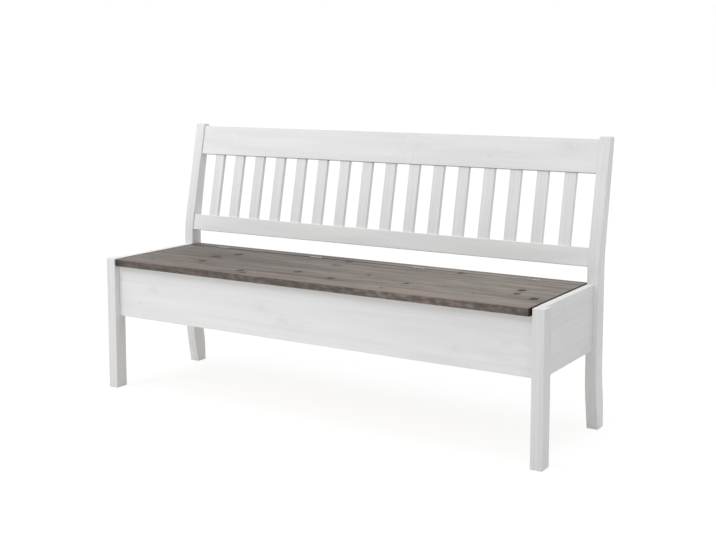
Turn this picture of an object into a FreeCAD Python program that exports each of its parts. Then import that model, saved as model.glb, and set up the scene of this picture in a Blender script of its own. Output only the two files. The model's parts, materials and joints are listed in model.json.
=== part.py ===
import FreeCAD, Part
import math
import os
import Sketcher

# A storage bench in painted pine with a lift-up seat, in millimetres.
# +Z is up, +X runs along the bench and the sitter looks towards -Y.
# The origin is on the floor, midway along the bench and midway between its front and its back.
# Depths in the tables below are measured back from the front faces of the front legs.

V = FreeCAD.Vector
doc = FreeCAD.newDocument("storage_bench")

SIZES = (
    ("bench_width", 1680, "over the outer faces of the legs"),
    ("seat_height", 470, "top of the seat above the floor"),
    ("leg_width", 39, "legs and posts, along the bench"),
    ("leg_depth", 50, "front legs, front to back"),
    ("leg_rise", 1, "tops of the front legs above the seat"),
    ("leg_ease", 2, "chamfer on the edges of legs and posts"),
    ("board_ease", 1.5, "chamfer on the edges of boards, rails and slats"),
    ("seat_ease", 2, "chamfer on the front edges of the seat"),
    ("box_bottom", 262, "underside of aprons and end panels above the floor"),
    ("post_front", 428, "front faces of the rear posts"),
    ("post_depth", 51, "rear posts, front to back, beside the seat box"),
    ("post_rise", 461.5, "tops of the rear posts above the seat"),
    ("post_tip_round", 12, "rounding of a post's top at the back"),
    ("post_nose_round", 4, "rounding of a post's top at the front"),
    ("lean_angle", 11.8, "lean of the backrest and of the fronts of the posts"),
    ("lean_rise", 68.5, "where the leaning front line meets the upright one, above the seat"),
    ("lean_bend", 400, "radius of that bend"),
    ("back_angle", 9.8, "lean of the backs of the posts, so that they taper upwards"),
    ("back_rise", 82.5, "where the leaning back line meets the upright one, above the seat"),
    ("back_bend", 500, "radius of that bend"),
    ("kick_angle", 10, "splay of the front line of a rear foot"),
    ("kick_reach", 24.5, "how far that line has moved back at the floor"),
    ("kick_bend", 560, "radius of that bend"),
    ("heel_reach", 18, "how far the back line of a rear foot moves back"),
    ("heel_top", 175, "height where the heel's slope begins"),
    ("heel_bottom", 75, "height where the heel's slope ends"),
    ("heel_bend", 530, "radius of both bends of the heel"),
    ("panel_thickness", 23, "end panels"),
    ("tongue_thickness", 10, "tongues of the end panels and tenons of the aprons"),
    ("tongue_depth", 8, "how far those tongues and tenons enter the legs and posts"),
    ("tongue_stop", 20, "distance that a tongue or tenon stops short of a visible edge"),
    ("apron_setback", 23, "front apron behind the fronts of the legs"),
    ("apron_thickness", 20, "front and rear aprons"),
    ("joint_play", 0.15, "clearance round a tongue, tenon or slat in its slot"),
    ("joint_spare", 1, "room for glue at the bottom of a slot"),
    ("cut_overrun", 1, "how far a cut starts outside the wood"),
    ("seat_thickness", 24, "seat lid and hinge strip"),
    ("lid_proud", 3, "front edge of the lid before the legs"),
    ("lid_gap", 7, "between the lid's ends and the end panels"),
    ("lid_rest_gap", 0.3, "between the closed lid and what it rests on"),
    ("lid_board_count", 6, "boards glued edge to edge"),
    ("strip_set_in", 38.7, "back edge of the hinge strip behind the fronts of the posts"),
    ("strip_width", 56.2, "hinge strip, front to back"),
    ("strip_overhang", 2, "hinge strip behind the rear apron"),
    ("lid_joint", 2, "gap between lid and hinge strip"),
    ("ledger_depth", 30, "ledger under the hinge strip, front to back"),
    ("ledger_height", 22, "ledger and lid rests"),
    ("rest_width", 20, "lid rests on the end panels"),
    ("corner_batten_width", 24, "upright battens in the corners of the box"),
    ("cleat_width", 20, "square cleats that carry the bottom"),
    ("cleat_rise", 4, "cleats above the underside of the aprons"),
    ("bottom_thickness", 8, "bottom panel"),
    ("bottom_play", 1, "between the bottom panel and the walls"),
    ("lid_batten_count", 3, "cross battens under the lid"),
    ("lid_batten_inset", 274, "middles of the outer battens from the ends of the lid"),
    ("lid_batten_width", 50, "cross battens, along the bench"),
    ("lid_batten_thickness", 20, "cross battens"),
    ("lid_batten_front_gap", 17, "between a batten and the front apron"),
    ("lid_batten_back_gap", 25, "between a batten and the ledger"),
    ("rail_setback", 6, "fronts of the back rails behind the fronts of the posts"),
    ("rail_thickness", 22, "back rails"),
    ("lower_rail_drop", 11, "lower rail below the start of the lean, along the slope"),
    ("lower_rail_width", 60, "lower rail, along the slope"),
    ("rail_spacing", 236, "clear height between the rails, along the slope"),
    ("top_rail_width", 109.5, "top rail, along the slope"),
    ("rail_tenon_length", 20, "tenons of the rails"),
    ("rail_tenon_thickness", 12, "tenons of the rails"),
    ("rail_shoulder", 10, "rail above and below its tenon"),
    ("slat_count", 16, "upright slats in the backrest"),
    ("slat_width", 40, "slats, along the bench"),
    ("slat_thickness", 15, "slats"),
    ("slat_margin", 67.375, "between a post and the slat next to it"),
    ("slat_tenon", 12, "how far a slat enters each rail"),
    ("hinge_count", 4, "butt hinges between lid and strip"),
    ("hinge_inset", 164, "middles of the outer hinges from the ends of the lid"),
    ("hinge_length", 50, "butt hinge"),
    ("knuckle_count", 3, "knuckles of a hinge"),
    ("knuckle_radius", 3, "outside of a knuckle"),
    ("knuckle_gap", 0.3, "between two knuckles"),
    ("knuckle_room", 0.5, "between a knuckle and what it turns in"),
    ("pin_radius", 1.5, "hinge pin"),
    ("pin_play", 0.05, "running clearance round the pin"),
    ("pin_rise", 1, "hinge axis above the seat"),
    ("leaf_thickness", 1.6, "hinge leaf"),
    ("leaf_play", 0.3, "from the hinge axis to the inner face of a leaf"),
    ("leaf_drop", 20, "hinge leaf below the axis"),
    ("leaf_fit", 0.1, "clearance round a leaf in its recess"),
    ("leaf_screw_drop", 12, "leaf screws below the axis"),
    ("leaf_screw_inset", 10, "leaf screws from the ends of a leaf"),
    ("leaf_screw_radius", 1.5, "shank of a hinge screw"),
    ("leaf_screw_head", 2.8, "radius of its head"),
    ("leaf_screw_sink", 1.3, "height of its head"),
    ("leaf_screw_length", 16, "hinge screw"),
    ("screw_radius", 2, "shank of a wood screw"),
    ("screw_head", 4, "radius of its head"),
    ("screw_sink", 2.4, "height of its head"),
    ("screw_length", 35, "wood screw"),
    ("screw_play", 0.1, "clearance round a screw"),
    ("screw_sides", 8, "sides that a screw is drawn with"),
    ("corner_screw_inset", 30, "corner screws from the ends of a batten"),
)

WORKED = (
    ("inner_half", "=sizes.bench_width / 2 - sizes.leg_width"),
    ("leg_height", "=sizes.seat_height + sizes.leg_rise"),
    ("post_back", "=sizes.post_front + sizes.post_depth"),
    ("post_height", "=sizes.seat_height + sizes.post_rise"),
    ("lean_start", "=sizes.seat_height + sizes.lean_rise"),
    ("back_start", "=sizes.seat_height + sizes.back_rise"),
    ("nose_y", "=sizes.post_front + (post_height - lean_start) * tan(sizes.lean_angle)"),
    ("tip_y", "=post_back + (post_height - back_start) * tan(sizes.back_angle)"),
    ("tip_turn", "=tan(sizes.back_angle) + 1 / cos(sizes.back_angle) - 1"),
    ("rear_reach", "=tip_y - sizes.post_tip_round * tip_turn"),
    ("leg_front", "=(sizes.lid_proud - rear_reach) / 2"),
    ("kick_height", "=sizes.kick_reach / tan(sizes.kick_angle)"),
    ("heel_back", "=post_back + sizes.heel_reach"),
    ("apron_back", "=sizes.apron_setback + sizes.apron_thickness"),
    ("seat_under", "=sizes.seat_height - sizes.seat_thickness"),
    ("rest_top", "=seat_under - sizes.lid_rest_gap"),
    ("rest_bottom", "=rest_top - sizes.ledger_height"),
    ("strip_back", "=sizes.post_front + sizes.strip_set_in"),
    ("strip_front", "=strip_back - sizes.strip_width"),
    ("joint_y", "=strip_front - sizes.lid_joint / 2"),
    ("lid_half", "=inner_half - sizes.lid_gap"),
    ("lid_batten_spacing", "=2 * (lid_half - sizes.lid_batten_inset) / (sizes.lid_batten_count - 1)"),
    ("hinge_spacing", "=2 * (lid_half - sizes.hinge_inset) / (sizes.hinge_count - 1)"),
    ("lid_depth", "=strip_front - sizes.lid_joint + sizes.lid_proud"),
    ("lid_board_width", "=lid_depth / sizes.lid_board_count"),
    ("rear_apron_back", "=strip_back - sizes.strip_overhang"),
    ("rear_apron_front", "=rear_apron_back - sizes.apron_thickness"),
    ("ledger_front", "=rear_apron_front - sizes.ledger_depth"),
    ("lid_batten_end", "=ledger_front - sizes.lid_batten_back_gap"),
    ("lid_batten_length", "=lid_batten_end - apron_back - sizes.lid_batten_front_gap"),
    ("panel_length", "=sizes.post_front - sizes.leg_depth"),
    ("panel_height", "=leg_height - sizes.box_bottom"),
    ("tongue_inset", "=(sizes.panel_thickness - sizes.tongue_thickness) / 2"),
    ("tenon_inset", "=(sizes.apron_thickness - sizes.tongue_thickness) / 2"),
    ("cleat_top", "=sizes.box_bottom + sizes.cleat_rise + sizes.cleat_width"),
    ("floor_top", "=cleat_top + sizes.bottom_thickness"),
    ("rail_tenon_inset", "=(sizes.rail_thickness - sizes.rail_tenon_thickness) / 2"),
    ("slat_inset", "=(sizes.rail_thickness - sizes.slat_thickness) / 2"),
    ("slat_row", "=2 * inner_half - 2 * sizes.slat_margin - sizes.slat_width"),
    ("slat_length", "=sizes.rail_spacing + 2 * sizes.slat_tenon"),
    ("slat_foot", "=sizes.lower_rail_width - sizes.lower_rail_drop - sizes.slat_tenon"),
    ("top_rail_start", "=sizes.lower_rail_width - sizes.lower_rail_drop + sizes.rail_spacing"),
    ("pivot_y", "=leg_front + sizes.post_front"),
    ("pin_height", "=sizes.seat_height + sizes.pin_rise"),
    ("leaf_back", "=sizes.leaf_play + sizes.leaf_thickness"),
)

sizes = doc.addObject("Spreadsheet::Sheet", "sizes")
for row, (name, number, note) in enumerate(SIZES, start=1):
    sizes.set(f"A{row}", name)
    sizes.set(f"B{row}", str(number))
    sizes.setAlias(f"B{row}", name)
    sizes.set(f"C{row}", note)
worked = doc.addObject("Spreadsheet::Sheet", "worked")
for row, (name, formula) in enumerate(WORKED, start=1):
    worked.set(f"A{row}", name)
    worked.set(f"B{row}", formula)
    worked.setAlias(f"B{row}", name)
doc.recompute()

# The same numbers for the few shapes that are worked out in this script
size = {name: float(sizes.get(name)) for name, number, note in SIZES}
size.update({name: float(worked.get(name)) for name, formula in WORKED})

parts = []


def keep(node, label):
    """Give a finished piece its name and put it on the list of pieces to write."""
    node.Label = label
    parts.append(node)
    return node


def bind(node, **formulas):
    """Tie properties to formulas; a double underscore in a name stands for a dot."""
    for name, formula in formulas.items():
        node.setExpression(name.replace("__", "."), formula)


def stand(node, x, y, z):
    """Place a piece: x along the bench, y behind the legs' fronts, z above the floor."""
    bind(node, Placement__Base__x=x, Placement__Base__y=f"worked.leg_front + {y}", Placement__Base__z=z)


def lean(node, x, back, up, pivot="worked.pivot_y"):
    """Place a piece in the leaning plane of the backrest: back from it, and up along it."""
    node.Placement = FreeCAD.Placement(V(), FreeCAD.Rotation(V(1, 0, 0), -1))
    across_slope = f"({back}) * cos(sizes.lean_angle) + ({up}) * sin(sizes.lean_angle)"
    down_slope = f"({back}) * sin(sizes.lean_angle) - ({up}) * cos(sizes.lean_angle)"
    bind(
        node,
        Placement__Rotation__Angle="-sizes.lean_angle",
        Placement__Base__x=x,
        Placement__Base__y=f"{pivot} + {across_slope}",
        Placement__Base__z=f"worked.lean_start - ({down_slope})",
    )


def sketch_on(body, role, name):
    """Attach a sketch to one of the body's own origin planes."""
    plane = [item for item in body.Origin.OriginFeatures if item.Role == role][0]
    sketch = body.newObject("Sketcher::SketchObject", name)
    sketch.AttachmentSupport = [(plane, "")]
    sketch.MapMode = "FlatFace"
    return sketch


def outline(sketch, corners):
    """Draw a closed outline whose corners are tied to pairs of formulas."""
    count = len(corners)
    rough = [V(place, place * place, 0) for place in range(count)]
    sides = [Part.LineSegment(rough[at], rough[(at + 1) % count]) for at in range(count)]
    sketch.addGeometry(sides, False)
    for at, (first, second) in enumerate(corners):
        sketch.addConstraint(Sketcher.Constraint("Coincident", at, 2, (at + 1) % count, 1))
        for kind, formula in (("DistanceX", first), ("DistanceY", second)):
            number = sketch.addConstraint(Sketcher.Constraint(kind, -1, 1, at, 1, 0.0))
            sketch.setExpression(f"Constraints[{number}]", formula)


def pad(body, sketch, length):
    """Extrude a sketch along its normal."""
    feature = body.newObject("PartDesign::Pad", "pad")
    feature.Profile = sketch
    bind(feature, Length=length)
    doc.recompute()
    return feature


def plank(length, width, height):
    """A squared piece of wood, with its lowest corner at its own origin."""
    body = doc.addObject("PartDesign::Body", "plank")
    sketch = sketch_on(body, "XY_Plane", "section")
    outline(sketch, (("0", "0"), (length, "0"), (length, width), ("0", width)))
    pad(body, sketch, height)
    return body


def block(body, kind, length, width, height, x, y, z):
    """Add a box to a body (kind Additive) or cut it away (kind Subtractive)."""
    feature = body.newObject(f"PartDesign::{kind}Box", "block")
    bind(feature, Length=length, Width=width, Height=height)
    bind(feature, Placement__Base__x=x, Placement__Base__y=y, Placement__Base__z=z)
    return feature


def dress(body, kind, amount, wanted):
    """Add a Fillet or a Chamfer on the edges of the body for which wanted(edge) is true."""
    doc.recompute()
    tip = body.Tip
    names = [f"Edge{at}" for at, edge in enumerate(tip.Shape.Edges, start=1) if wanted(edge)]
    feature = body.newObject(f"PartDesign::{kind}", kind)
    feature.Base = (tip, names)
    feature.setExpression("Radius" if kind == "Fillet" else "Size", amount)
    doc.recompute()
    return feature


def runs_along(edge, axis):
    """Whether a straight edge runs along one axis of its body."""
    heading = (edge.Vertexes[-1].Point - edge.Vertexes[0].Point).normalize()
    return round(abs(heading.dot(axis)), 6) == 1


def mirrored(source, label):
    """The same piece for the left end of the bench."""
    node = doc.addObject("Part::Mirroring", "mirrored")
    node.Source = source
    node.Normal = V(1, 0, 0)
    return keep(node, label)


def shaped(shape, name):
    """A document object that carries a shape worked out in this script."""
    node = doc.addObject("Part::Feature", name)
    node.Shape = shape
    return node


def cut_from(base, tool, label):
    """A piece with holes or recesses cut into it."""
    node = doc.addObject("Part::Cut", "cut")
    node.Base = base
    node.Tool = tool
    return keep(node, label)


def along(heading, x, y, z):
    """A placement with +Z turned to a heading; y is measured behind the legs' fronts."""
    turn = FreeCAD.Rotation(V(0, 0, 1), V(*heading))
    return FreeCAD.Placement(V(x, size["leg_front"] + y, z), turn)


def screw_solid(name, play=0):
    """A countersunk screw along +Z with its head at the origin, or with play the hole for it."""
    head = size[f"{name}_head"] + play
    shank = size[f"{name}_radius"] + play
    levels = ((head, 0), (shank, size[f"{name}_sink"]), (shank, size[f"{name}_length"] + play))
    sides = int(size["screw_sides"])
    turns = [math.tau * side / sides for side in range(sides)]
    rings = [[V(reach * math.cos(turn), reach * math.sin(turn), z) for turn in turns] for reach, z in levels]
    faces = [Part.Face(Part.makePolygon(ring + ring[:1])) for ring in (rings[0], rings[-1])]
    for low, high in zip(rings, rings[1:]):
        for at in range(sides):
            after = (at + 1) % sides
            faces.append(Part.Face(Part.makePolygon([low[at], low[after], high[after], high[at], low[at]])))
    solid = Part.makeSolid(Part.makeShell(faces))
    if solid.Volume < 0:
        solid.reverse()
    return solid


def copies(solid, places):
    """One compound of the same solid at several placements."""
    group = []
    for place in places:
        item = solid.copy()
        item.Placement = place
        group.append(item)
    return Part.makeCompound(group)


# Front legs
leg = plank("sizes.leg_width", "sizes.leg_depth", "worked.leg_height")
dress(leg, "Chamfer", "sizes.leg_ease", lambda edge: edge.BoundBox.ZMax > size["leg_ease"])
# groove for the tongue of the end panel
block(
    leg, "Subtractive",
    "sizes.tongue_thickness + 2 * sizes.joint_play",
    "sizes.tongue_depth + sizes.joint_spare + sizes.cut_overrun",
    "worked.panel_height - sizes.tongue_stop + 2 * sizes.joint_play",
    "worked.tongue_inset - sizes.joint_play",
    "sizes.leg_depth - sizes.tongue_depth - sizes.joint_spare",
    "sizes.box_bottom - sizes.joint_play",
)
# mortise for the tenon of the front apron
block(
    leg, "Subtractive",
    "sizes.tongue_depth + sizes.joint_spare + sizes.cut_overrun",
    "sizes.tongue_thickness + 2 * sizes.joint_play",
    "worked.rest_top - sizes.box_bottom - 2 * sizes.tongue_stop + 2 * sizes.joint_play",
    "-sizes.cut_overrun",
    "sizes.apron_setback + worked.tenon_inset - sizes.joint_play",
    "sizes.box_bottom + sizes.tongue_stop - sizes.joint_play",
)
stand(leg, "worked.inner_half", "0", "0")
keep(leg, "front_leg_right")
mirrored(leg, "front_leg_left")

# Rear posts: one board sawn to a long double bend, then chamfered along its edges
post = doc.addObject("PartDesign::Body", "post")
side_view = sketch_on(post, "YZ_Plane", "side_view")
POST_CORNERS = (
    ("sizes.post_front + sizes.kick_reach", "0"),
    ("sizes.post_front", "worked.kick_height"),
    ("sizes.post_front", "worked.lean_start"),
    ("worked.nose_y", "worked.post_height"),
    ("worked.tip_y", "worked.post_height"),
    ("worked.post_back", "worked.back_start"),
    ("worked.post_back", "sizes.heel_top"),
    ("worked.heel_back", "sizes.heel_bottom"),
    ("worked.heel_back", "0"),
)
POST_BENDS = {
    1: "kick_bend",
    2: "lean_bend",
    3: "post_nose_round",
    4: "post_tip_round",
    5: "back_bend",
    6: "heel_bend",
    7: "heel_bend",
}
outline(side_view, POST_CORNERS)
pad(post, side_view, "sizes.leg_width")


def at_corner(corner):
    """A test for the edge across the post at one corner of its side view."""
    spot = side_view.getPoint(corner, 1)
    reach = size["post_nose_round"] / 2

    def test(edge):
        middle = edge.CenterOfMass
        across = edge.BoundBox.XLength > size["leg_width"] - size["leg_ease"]
        return across and abs(middle.y - spot.x) < reach and abs(middle.z - spot.y) < reach

    return test


for corner, bend in POST_BENDS.items():
    dress(post, "Fillet", f"sizes.{bend}", at_corner(corner))
dress(
    post, "Chamfer", "sizes.leg_ease",
    lambda edge: edge.BoundBox.XLength < size["leg_ease"] and edge.BoundBox.ZMax > size["leg_ease"],
)
# groove for the tongue of the end panel, mortise for the rear apron, then one for each back rail
block(
    post, "Subtractive",
    "sizes.tongue_thickness + 2 * sizes.joint_play",
    "sizes.tongue_depth + sizes.joint_spare + sizes.cut_overrun",
    "worked.panel_height - sizes.tongue_stop + 2 * sizes.joint_play",
    "worked.tongue_inset - sizes.joint_play",
    "sizes.post_front - sizes.cut_overrun",
    "sizes.box_bottom - sizes.joint_play",
)
block(
    post, "Subtractive",
    "sizes.tongue_depth + sizes.joint_spare + sizes.cut_overrun",
    "sizes.tongue_thickness + 2 * sizes.joint_play",
    "worked.seat_under - sizes.box_bottom - 2 * sizes.tongue_stop + 2 * sizes.joint_play",
    "-sizes.cut_overrun",
    "worked.rear_apron_front + worked.tenon_inset - sizes.joint_play",
    "sizes.box_bottom + sizes.tongue_stop - sizes.joint_play",
)
RAILS = (("-sizes.lower_rail_drop", "lower_rail_width"), ("worked.top_rail_start", "top_rail_width"))
for start, width in RAILS:
    back = "sizes.rail_setback + worked.rail_tenon_inset - sizes.joint_play"
    up = f"{start} + sizes.rail_shoulder - sizes.joint_play"
    mortise = block(
        post, "Subtractive",
        "sizes.rail_tenon_length + sizes.joint_spare + sizes.cut_overrun",
        "sizes.rail_tenon_thickness + 2 * sizes.joint_play",
        f"sizes.{width} - 2 * sizes.rail_shoulder + 2 * sizes.joint_play",
        "0", "0", "0",
    )
    lean(mortise, "-sizes.cut_overrun", back, up, "sizes.post_front")
stand(post, "worked.inner_half", "0", "0")
keep(post, "rear_post_right")
mirrored(post, "rear_post_left")

# End panels, flush with the inner faces of leg and post
panel = plank("sizes.panel_thickness", "worked.panel_length", "worked.panel_height")
dress(
    panel, "Chamfer", "sizes.board_ease",
    lambda edge: runs_along(edge, V(0, 1, 0)) and edge.CenterOfMass.x > size["panel_thickness"] / 2,
)
block(
    panel, "Additive",
    "sizes.tongue_thickness",
    "worked.panel_length + 2 * sizes.tongue_depth",
    "worked.panel_height - sizes.tongue_stop",
    "worked.tongue_inset", "-sizes.tongue_depth", "0",
)
stand(panel, "worked.inner_half", "sizes.leg_depth", "sizes.box_bottom")
keep(panel, "end_panel_right")
mirrored(panel, "end_panel_left")


def apron(height, setback):
    """A long board of the seat box, with a stub tenon on each end."""
    body = plank("2 * worked.inner_half", "sizes.apron_thickness", height)
    dress(
        body, "Chamfer", "sizes.board_ease",
        lambda edge: runs_along(edge, V(1, 0, 0)) and edge.CenterOfMass.z < size["board_ease"],
    )
    block(
        body, "Additive",
        "2 * worked.inner_half + 2 * sizes.tongue_depth",
        "sizes.tongue_thickness",
        f"{height} - 2 * sizes.tongue_stop",
        "-sizes.tongue_depth", "worked.tenon_inset", "sizes.tongue_stop",
    )
    stand(body, "-worked.inner_half", setback, "sizes.box_bottom")
    return body


front_apron = apron("(worked.rest_top - sizes.box_bottom)", "sizes.apron_setback")
rear_apron = apron("(worked.seat_under - sizes.box_bottom)", "worked.rear_apron_front")

# Upright battens in the four corners of the box, each screwed to its apron
batten = "sizes.corner_batten_width"
corner_blanks = []
for end, across in (("left", "-worked.inner_half"), ("right", f"worked.inner_half - {batten}")):
    for wall, deep in (("front", "worked.apron_back"), ("rear", f"worked.rear_apron_front - {batten}")):
        blank = plank(batten, batten, "worked.rest_bottom - worked.floor_top")
        stand(blank, across, deep, "worked.floor_top")
        corner_blanks.append((f"{wall}_{end}", blank))

front_face = size["apron_back"] + size["corner_batten_width"]
rear_face = size["rear_apron_front"] - size["corner_batten_width"]
corner_middle = size["inner_half"] - size["corner_batten_width"] / 2
lower_screw = size["floor_top"] + size["corner_screw_inset"]
upper_screw = size["rest_bottom"] - size["corner_screw_inset"]
corner_places = []
for middle in (-corner_middle, corner_middle):
    for height in (lower_screw, upper_screw):
        corner_places.append(along((0, -1, 0), middle, front_face, height))
        corner_places.append(along((0, 1, 0), middle, rear_face, height))
wood_screw = screw_solid("screw")
screw_hole = screw_solid("screw", size["screw_play"])
corner_holes = shaped(copies(screw_hole, corner_places), "corner_holes")
keep(shaped(copies(wood_screw, corner_places), "corner_screws"), "corner_screws")
for where, blank in corner_blanks:
    cut_from(blank, corner_holes, f"corner_batten_{where}")
cut_from(front_apron, corner_holes, "front_apron")
cut_from(rear_apron, corner_holes, "rear_apron")

# Bottom panel, lying on four cleats
box_depth = "worked.rear_apron_front - worked.apron_back"
cleat = "sizes.cleat_width"
for wall, deep in (("front", "worked.apron_back"), ("rear", f"worked.rear_apron_front - {cleat}")):
    long_cleat = plank("2 * worked.inner_half", cleat, cleat)
    stand(long_cleat, "-worked.inner_half", deep, f"worked.cleat_top - {cleat}")
    keep(long_cleat, f"bottom_cleat_{wall}")
for end, across in (("left", "-worked.inner_half"), ("right", f"worked.inner_half - {cleat}")):
    short_cleat = plank(cleat, f"{box_depth} - 2 * {cleat}", cleat)
    stand(short_cleat, across, f"worked.apron_back + {cleat}", f"worked.cleat_top - {cleat}")
    keep(short_cleat, f"bottom_cleat_{end}")
play = "sizes.bottom_play"
bottom = plank(f"2 * worked.inner_half - 2 * {play}", f"{box_depth} - 2 * {play}", "sizes.bottom_thickness")
stand(bottom, f"{play} - worked.inner_half", f"worked.apron_back + {play}", "worked.cleat_top")
keep(bottom, "bottom_panel")

# Lid rests on the end panels
for end, across in (("left", "-worked.inner_half"), ("right", "worked.inner_half - sizes.rest_width")):
    rest = plank("sizes.rest_width", box_depth, "sizes.ledger_height")
    stand(rest, across, "worked.apron_back", "worked.rest_bottom")
    keep(rest, f"lid_rest_{end}")


def spread(count, spacing):
    """Places with equal spacing, centred on zero."""
    return [(number - (count - 1) / 2) * spacing for number in range(int(count))]


# Butt hinges: the axis is on the joint line, a little above the seat
hinge_middles = spread(size["hinge_count"], size["hinge_spacing"])
hinge_half = size["hinge_length"] / 2
hinge_axis = (size["joint_y"], size["pin_height"])
hinge_places = [along((0, 0, 1), middle - hinge_half, *hinge_axis) for middle in hinge_middles]
leaf_screw_ends = (size["leaf_screw_inset"], size["hinge_length"] - size["leaf_screw_inset"])


def leaf_screw_places(side):
    """Screws of the leaves on one side of the joint: -1 is the lid, 1 is the strip."""
    face = size["joint_y"] + side * size["leaf_play"]
    height = size["pin_height"] - size["leaf_screw_drop"]
    return [
        along((0, side, 0), middle - hinge_half + end, face, height)
        for middle in hinge_middles
        for end in leaf_screw_ends
    ]


def hinge_leaf(side, own):
    """A leaf with its knuckles round the X axis; own tells which knuckles are on this leaf."""
    length, drop = size["hinge_length"], size["leaf_drop"]
    pitch = length / size["knuckle_count"]
    gap = size["knuckle_gap"] / 2
    low = size["leaf_play"] if side > 0 else -size["leaf_back"]
    leaf = Part.makeBox(length, size["leaf_thickness"], drop, V(0, low, -drop))
    room = size["knuckle_radius"] + size["knuckle_room"]
    for knuckle in range(int(size["knuckle_count"])):
        start = knuckle * pitch
        if knuckle % 2 == own:
            foot = V(start + gap, 0, 0)
            leaf = leaf.fuse(Part.makeCylinder(size["knuckle_radius"], pitch - 2 * gap, foot, V(1, 0, 0)))
        else:
            leaf = leaf.cut(Part.makeBox(pitch + 2 * gap, 2 * room, 2 * room, V(start - gap, -room, -room)))
    leaf = leaf.cut(Part.makeCylinder(size["pin_radius"] + size["pin_play"], length, V(), V(1, 0, 0)))
    for end in leaf_screw_ends:
        drill = screw_solid("leaf_screw", size["screw_play"])
        turn = FreeCAD.Rotation(V(0, 0, 1), V(0, side, 0))
        drill.Placement = FreeCAD.Placement(V(end, side * size["leaf_play"], -size["leaf_screw_drop"]), turn)
        leaf = leaf.cut(drill)
    return leaf.removeSplitter()


def hinge_recess(side):
    """The wood cut away for one leaf and for the turning knuckles."""
    fit = size["leaf_fit"]
    length = size["hinge_length"] + 2 * fit
    deep = size["leaf_back"] + fit
    drop = size["leaf_drop"] + fit
    pocket = Part.makeBox(length, deep, drop, V(-fit, 0 if side > 0 else -deep, -drop))
    room = size["knuckle_radius"] + size["knuckle_room"]
    return pocket.fuse(Part.makeCylinder(room, length, V(-fit, 0, 0), V(1, 0, 0)))


leaf_screw = screw_solid("leaf_screw")
leaf_screw_hole = screw_solid("leaf_screw", size["screw_play"])
hinge_cuts = {}
for name, side, own in (("lid", -1, 1), ("strip", 1, 0)):
    keep(shaped(copies(hinge_leaf(side, own), hinge_places), f"{name}_leaves"), f"hinge_leaves_{name}")
    keep(shaped(copies(leaf_screw, leaf_screw_places(side)), f"{name}_leaf_screws"), f"hinge_screws_{name}")
    pockets = copies(hinge_recess(side), hinge_places)
    holes = copies(leaf_screw_hole, leaf_screw_places(side))
    hinge_cuts[name] = shaped(pockets.fuse(holes), f"{name}_hinge_cuts")
pin = Part.makeCylinder(size["pin_radius"], size["hinge_length"], V(), V(1, 0, 0))
keep(shaped(copies(pin, hinge_places), "pins"), "hinge_pins")

# Hinge strip behind the lid, screwed up through a ledger on the rear apron
strip = plank("2 * worked.lid_half", "sizes.strip_width", "sizes.seat_thickness")
dress(
    strip, "Chamfer", "sizes.board_ease",
    lambda edge: runs_along(edge, V(1, 0, 0)) and edge.CenterOfMass.y > size["strip_width"] / 2,
)
stand(strip, "-worked.lid_half", "worked.strip_front", "worked.seat_under")
ledger = plank(f"2 * worked.inner_half - 2 * {batten}", "sizes.ledger_depth", "sizes.ledger_height")
ledger_foot = "worked.seat_under - sizes.ledger_height"
stand(ledger, f"{batten} - worked.inner_half", "worked.ledger_front", ledger_foot)
ledger_middle = size["ledger_front"] + size["ledger_depth"] / 2
ledger_under = size["seat_under"] - size["ledger_height"]
between_hinges = spread(size["hinge_count"] - 1, size["hinge_spacing"])
strip_places = [along((0, 0, 1), middle, ledger_middle, ledger_under) for middle in between_hinges]
strip_holes = shaped(copies(screw_hole, strip_places), "strip_holes")
keep(shaped(copies(wood_screw, strip_places), "strip_screws"), "hinge_strip_screws")
drilled_strip = doc.addObject("Part::Cut", "drilled_strip")
drilled_strip.Base = strip
drilled_strip.Tool = strip_holes
cut_from(drilled_strip, hinge_cuts["strip"], "hinge_strip")
cut_from(ledger, strip_holes, "hinge_strip_ledger")

# Seat lid: boards glued edge to edge, held flat by cross battens underneath
board_count = int(size["lid_board_count"])
batten_middles = spread(size["lid_batten_count"], size["lid_batten_spacing"])
batten_under = size["seat_under"] - size["lid_batten_thickness"]
second_board = 1.5 * size["lid_board_width"] - size["lid_proud"]
screwed_boards = [second_board + pair * 2 * size["lid_board_width"] for pair in range(board_count // 2)]
lid_places = [
    along((0, 0, 1), across, deep, batten_under)
    for across in batten_middles
    for deep in screwed_boards
]
lid_holes = shaped(copies(screw_hole, lid_places), "lid_holes")
keep(shaped(copies(wood_screw, lid_places), "lid_screws"), "lid_batten_screws")
for number in range(board_count):
    board = plank("2 * worked.lid_half", "worked.lid_board_width", "sizes.seat_thickness")
    if number == 0:
        dress(
            board, "Chamfer", "sizes.seat_ease",
            lambda edge: runs_along(edge, V(1, 0, 0)) and edge.CenterOfMass.y < size["seat_ease"],
        )
    board_front = f"{number} * worked.lid_board_width - sizes.lid_proud"
    stand(board, "-worked.lid_half", board_front, "worked.seat_under")
    if number == board_count - 1:
        hinged = doc.addObject("Part::Cut", "hinged_board")
        hinged.Base = board
        hinged.Tool = hinge_cuts["lid"]
        board = hinged
    cut_from(board, lid_holes, f"lid_board_{number + 1}")
for number in range(1, len(batten_middles) + 1):
    lid_batten = plank("sizes.lid_batten_width", "worked.lid_batten_length", "sizes.lid_batten_thickness")
    middle = f"({number} - (sizes.lid_batten_count + 1) / 2) * worked.lid_batten_spacing"
    stand(
        lid_batten,
        f"{middle} - sizes.lid_batten_width / 2",
        "worked.apron_back + sizes.lid_batten_front_gap",
        "worked.seat_under - sizes.lid_batten_thickness",
    )
    cut_from(lid_batten, lid_holes, f"lid_batten_{number}")


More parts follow.
